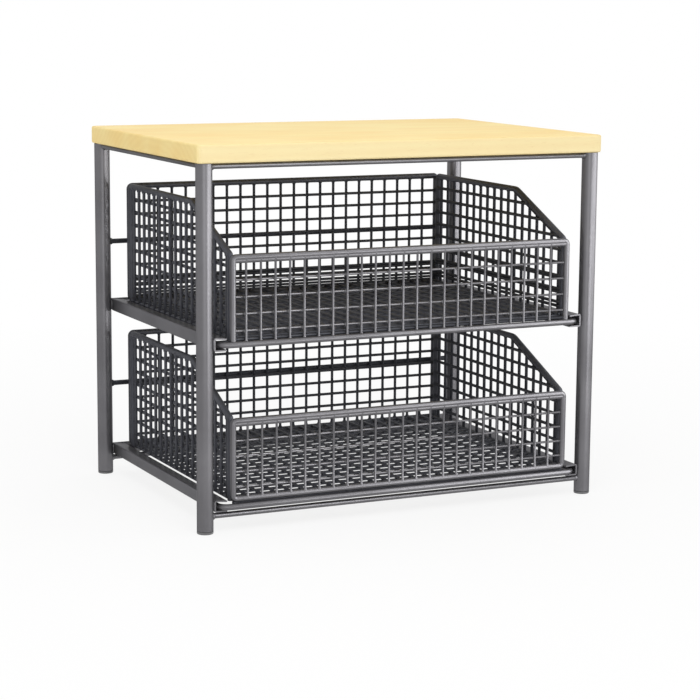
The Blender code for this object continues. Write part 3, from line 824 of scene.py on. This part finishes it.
def dress_legs(steel, plastic):
    """Round tubes with a fine rolled lip, each on a plug whose edge is rounded off."""
    for end in ENDS:
        for side in SIDES:
            low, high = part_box(f"leg_{end}_{side}")
            x, y = (low[0] + high[0]) / 2, (low[1] + high[1]) / 2
            length = high[2] - low[2]
            bm = bmesh.new()
            bore = LEG_RADIUS - LEG_WALL
            stations = [
                (BORE_DEPTH, bore),
                (0, bore),
                (0, LEG_RADIUS - LEG_LIP),
                (LEG_LIP, LEG_RADIUS),
                (length, LEG_RADIUS),
                (length, bore),
                (length - BORE_DEPTH, bore),
            ]
            turned(bm, Vector((x, y, low[2])), UP, stations, LEG_SIDES)
            coated_piece(f"{end}_{side}_leg_tube", bm, [steel], f"leg_{end}_{side}")
            node = f"foot_plug_{end}_{side}"
            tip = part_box(node)[1][2]
            # The edge's quarter round has facets of 30 degrees.
            less, more = PLUG_ROUND * 0.13, PLUG_ROUND * 0.5
            stations = [
                (0, PLUG_FACE),
                (0, LEG_RADIUS - PLUG_ROUND),
                (less, LEG_RADIUS - more),
                (more, LEG_RADIUS - less),
                (PLUG_ROUND, LEG_RADIUS),
                (PLUG_COLLAR, LEG_RADIUS),
                (PLUG_COLLAR + PLUG_STEP, bore),
                (tip, bore - PLUG_TAPER),
            ]
            bm = bmesh.new()
            turned(bm, Vector((x, y, 0)), UP, stations, LEG_SIDES)
            new_piece(f"{end}_{side}_plug", bm, [plastic], "rack", "black_plastic", node)


def dress_bars(steel, wire_coat_in_painted_shade):
    """Round bars that are welded to the legs all round their ends."""
    bars = [f"top_bar_{end}" for end in ("front", "rear", "left", "right")]
    bars += [f"bottom_bar_{end}" for end in ENDS] + [f"rear_rod_{level}" for level in LEVELS]
    for name in bars:
        low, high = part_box(name)
        size = [b - a for a, b in zip(low, high)]
        axis = size.index(max(size))
        radius = size[2] / 2
        centre = Vector(middle(name))
        if name.startswith("bottom_bar"):
            centre.z -= BOTTOM_BAR_DROP
        along = Vector([float(k == axis) for k in range(3)])
        start = centre - along * size[axis] / 2
        length = size[axis]
        weld = [
            (-BAR_SUNK, radius * BAR_WELD),
            (BAR_WELD_FACE, radius * BAR_WELD),
            (BAR_WELD_FACE + BAR_WELD_LENGTH / 2, radius * (1 + (BAR_WELD - 1) * BAR_WELD_WAIST)),
            (BAR_WELD_FACE + BAR_WELD_LENGTH, radius),
        ]
        stations = weld + [(length - distance, thick) for distance, thick in reversed(weld)]
        bm = bmesh.new()
        turned(bm, start, along, stations, BAR_SIDES)
        # The rear rods take the wire copy of the coat, whose darker tone is painted shade under the board.
        coat = wire_coat_in_painted_shade if name.startswith("rear_rod") else steel
        coated_piece(f"round_{name}", bm, [coat], name)


def extruded(bm, outline, start, end, place=Matrix.Identity(4)):
    """A profile drawn in (u, v) and drawn out along w from start to end."""
    rings = []
    for w in (start, end):
        rings.append([bm.verts.new(place @ Vector((spot.x, spot.y, w))) for spot in outline])
    skin(bm, rings)


def upright_bead(bm, x, y, bottom, top):
    """A bead that runs straight up."""
    bead(bm, Vector((x, y, bottom)), Vector((x, y, top)))


def runner(level, side, steel):
    """A folded channel with rounded folds, and weld beads where its web meets the legs."""
    way = SIDES[side]
    name = f"runner_{level}_{side}"
    low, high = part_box(name)
    outer = max(abs(low[0]), abs(high[0]))
    inner = min(abs(low[0]), abs(high[0]))
    bottom, top = low[2] - RUNNER_DEEPER[level], high[2]
    web = outer - RUNNER_WALL
    bend = FOLD_RADIUS - RUNNER_WALL
    lip = top - FLANGE_SAG
    profile = (
        (outer, bottom, FOLD_RADIUS),
        (outer, top, FOLD_RADIUS),
        (inner, lip, SHEET_EDGE),
        (inner, lip - RUNNER_WALL, SHEET_EDGE),
        (web, top - RUNNER_WALL, bend),
        (web, bottom + RUNNER_WALL, bend),
        (inner, bottom + RUNNER_WALL, SHEET_EDGE),
        (inner, bottom, SHEET_EDGE),
    )
    outline = rounded_path([row[:2] for row in profile], [row[2] for row in profile], True)
    bm = bmesh.new()
    place = Matrix(((way, 0, 0), (0, 0, 1), (0, 1, 0))).to_4x4()
    extruded(bm, outline, low[1], high[1], place)
    bead_x = way * (outer + RUNNER_BEAD_OUT)
    for leg_y in (-LEG_Y, LEG_Y):
        for y in (leg_y - RUNNER_BEAD_STEP, leg_y + RUNNER_BEAD_STEP):
            upright_bead(bm, bead_x, y, bottom + RUNNER_BEAD_SHORT, top - RUNNER_BEAD_SHORT)
    coated_piece(f"channel_{name}", bm, [steel], name)


def stop_strip(level, steel):
    """A flat strip with eased edges, welded to the runners' rear ends."""
    name = f"stop_strip_{level}"
    low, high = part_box(name)
    corners = [(low[1], low[2]), (high[1], low[2]), (high[1], high[2]), (low[1], high[2])]
    outline = rounded_path(corners, [STRIP_ROUND] * 4, True)
    bm = bmesh.new()
    place = Matrix(((0, 0, 1), (1, 0, 0), (0, 1, 0))).to_4x4()
    extruded(bm, outline, low[0] - STRIP_REACH, high[0] + STRIP_REACH, place)
    for way in (-1, 1):
        bead_x = way * (high[0] - STRIP_BEAD_IN)
        for y in (low[1] - STRIP_REACH, high[1] + STRIP_REACH):
            upright_bead(bm, bead_x, y, low[2] + STRIP_BEAD_SHORT, high[2] - STRIP_BEAD_SHORT)
    coated_piece(f"flat_{name}", bm, [steel], name)


def dress_runners(steel):
    """The two baskets' runners, each pair closed at the rear by its strip."""
    for level in LEVELS:
        for side in SIDES:
            runner(level, side, steel)
        stop_strip(level, steel)


def dress_fixings(steel, zinc):
    """Tabs with rounded corners under the board, and pan-head screws with a cross recess."""
    for end in ENDS:
        for side, way in SIDES.items():
            name = f"tab_{end}_{side}"
            low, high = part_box(name)
            corners = [(low[0], low[1]), (high[0], low[1]), (high[0], high[1]), (low[0], high[1])]
            outward = high[0] if way > 0 else low[0]
            bends = [SHEET_EDGE if corner[0] == outward else TAB_CORNER for corner in corners]
            bm = bmesh.new()
            extruded(bm, rounded_path(corners, bends, True), low[2], high[2])
            edge = Vector((outward, (low[1] + high[1]) / 2, (low[2] + high[2]) / 2))
            half = Vector((0, TAB_BEAD_HALF_LENGTH, 0))
            bead(bm, edge - half, edge + half)
            coated_piece(f"plate_{name}", bm, [steel], name)
            name = f"screw_{end}_{side}"
            low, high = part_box(name)
            centre = Vector(((low[0] + high[0]) / 2, (low[1] + high[1]) / 2, low[2]))
            head = (high[0] - low[0]) / 2
            length = high[2] - low[2]
            stations = [(distance, head * share) for distance, share in SCREW_CROWN]
            stations += [
                (SCREW_HEAD_HEIGHT, head),
                (SCREW_HEAD_HEIGHT, SCREW_SHANK_RADIUS),
                (length - SCREW_POINT_LENGTH, SCREW_SHANK_RADIUS),
                (length, SCREW_TIP_RADIUS),
            ]
            bm = bmesh.new()
            turned(bm, centre, UP, stations, SCREW_SIDES)
            cross_recess(bm, centre)
            new_piece(f"pan_head_{name}", bm, [zinc], "rack", "zinc_plated_steel", name)


def cross_recess(bm, centre):
    """Presses a cross-shaped pit into a screw's head, in the round face at its lower end."""
    end = min(bm.faces, key=lambda face: face.calc_center_median().z)
    rim = list(end.verts)
    bm.faces.remove(end)
    wide = RECESS_HALF_WIDTH
    plan = []
    arm = ((wide, wide), (RECESS_ARM, wide), (RECESS_ARM, -wide))
    for k in range(4):
        turn = Matrix.Rotation(k * math.pi / 2, 2)
        plan += [turn @ Vector(spot) for spot in arm]
    plan.sort(key=lambda spot: math.atan2(spot.y, spot.x))
    plan = [spot.to_3d() for spot in plan]
    mouth = [bm.verts.new(centre + spot) for spot in plan]
    pit = [bm.verts.new(centre + spot * RECESS_TAPER + UP * RECESS_DEPTH) for spot in plan]
    count = len(mouth)
    for k in range(count):
        after = (k + 1) % count
        bm.faces.new((mouth[k], mouth[after], pit[after], pit[k]))
    bm.faces.new(pit)
    edges = [bm.edges.get((rim[k], rim[(k + 1) % len(rim)])) for k in range(len(rim))]
    edges += [bm.edges.get((mouth[k], mouth[(k + 1) % count])) for k in range(count)]
    bmesh.ops.triangle_fill(bm, edges=edges, use_beauty=True)


def dress_board(wood):
    """The board's own solid has the right shape, so it only gets its wood."""
    board = bpy.data.objects["top_board"]
    board.data.materials.clear()
    board.data.materials.append(wood)


# ---------------------------------------------------------------- studio

def make_floor(card):
    """A wide card that the rack stands on."""
    bm = bmesh.new()
    bmesh.ops.create_grid(bm, x_segments=FLOOR_SQUARES, y_segments=FLOOR_SQUARES, size=FLOOR_REACH)
    mesh = bpy.data.meshes.new("studio_floor")
    bm.to_mesh(mesh)
    bm.free()
    mesh.materials.append(card)
    floor = bpy.data.objects.new("studio_floor", mesh)
    bpy.context.collection.objects.link(floor)


def soft_light(name, place, aim, width, height, power, mirrored):
    """A soft box that looks at a point: either a plain light, or one that only shows mirrored in gloss."""
    lamp = bpy.data.lights.new(name, "AREA")
    lamp.shape = "RECTANGLE"
    lamp.size = width
    lamp.size_y = height
    lamp.energy = power
    light = bpy.data.objects.new(name, lamp)
    light.location = place
    light.rotation_euler = (Vector(aim) - Vector(place)).to_track_quat("-Z", "Y").to_euler()
    light.visible_camera = False
    light.visible_diffuse = not mirrored
    light.visible_glossy = mirrored
    bpy.context.collection.objects.link(light)


def make_world():
    """White to the eye and in reflections, and dimmer where it lights matt surfaces."""
    world = bpy.data.worlds.new("white_studio")
    bpy.context.scene.world = world
    world.use_nodes = True
    tree = world.node_tree
    tree.nodes.clear()
    output = add(tree, "ShaderNodeOutputWorld")
    fill = add(tree, "ShaderNodeBackground", {"Color": linear("#ffffff"), "Strength": FILL_STRENGTH})
    white = add(tree, "ShaderNodeBackground", {"Color": linear("#ffffff"), "Strength": 1.0})
    sky = add(tree, "ShaderNodeMixShader", {
        0: seen_or_mirrored(tree),
        1: fill.outputs["Background"],
        2: white.outputs["Background"],
    })
    tree.links.new(sky.outputs["Shader"], output.inputs["Surface"])


def make_camera():
    """The camera that the photograph was fitted with."""
    yaw, pitch, roll = [math.radians(angle) for angle in (CAMERA_YAW, CAMERA_PITCH, CAMERA_ROLL)]
    forward = Vector((math.sin(yaw) * math.cos(pitch), math.cos(yaw) * math.cos(pitch), math.sin(pitch)))
    right = Vector((math.cos(yaw), -math.sin(yaw), 0))
    up = right.cross(forward)
    tilted_right = right * math.cos(roll) + up * math.sin(roll)
    tilted_up = up * math.cos(roll) - right * math.sin(roll)
    lens = bpy.data.cameras.new("photo_camera")
    lens.lens = LENS
    lens.sensor_width = SENSOR
    lens.clip_end = FAR_CLIP
    camera = bpy.data.objects.new("photo_camera", lens)
    aim = Matrix((tilted_right, tilted_up, -forward)).transposed().to_4x4()
    camera.matrix_world = Matrix.Translation(CAMERA_PLACE) @ aim
    bpy.context.collection.objects.link(camera)
    bpy.context.scene.camera = camera


def make_studio():
    """White all round, one soft key light, and strips that draw the highlights along the tubes."""
    make_world()
    make_floor(white_studio_card())
    soft_light("key_light", KEY_PLACE, KEY_AIM, KEY_WIDTH, KEY_HEIGHT, KEY_POWER, mirrored=False)
    for name, place, width, height, power in MIRRORED_STRIPS:
        soft_light(name, place, STRIP_AIM, width, height, power, mirrored=True)
    make_camera()
    bpy.context.scene.view_settings.view_transform = "Standard"


def main():
    """Dresses the rack."""
    # One charcoal coat in three tones. The tube and rod tone is the coat's own. The rim copy is darker,
    # duller and less metallic, and the wire copy more so: both copies are painted shade, on the baskets'
    # backs, sides and floors and on the rear rods.
    steel = powder_coated("powder_coated_tube_and_rod", "#69686b", "#727174", flake=0.65, roughness=0.32)
    wire_coat_in_painted_shade = powder_coated("powder_coated_wire_in_painted_shade", "#3b3c41", "#434449", flake=0.4, roughness=0.55)
    rim_coat_in_painted_shade = powder_coated("powder_coated_rim_in_painted_shade", "#4c4d53", "#54555b", flake=0.4, roughness=0.5)
    dress_board(satin_lacquered_beech())
    dress_legs(steel, moulded_polyethylene())
    dress_bars(steel, wire_coat_in_painted_shade)
    dress_runners(steel)
    dress_fixings(steel, zinc_plated_steel())
    dress_baskets(steel, rim_coat_in_painted_shade, wire_coat_in_painted_shade)
    make_studio()


main()
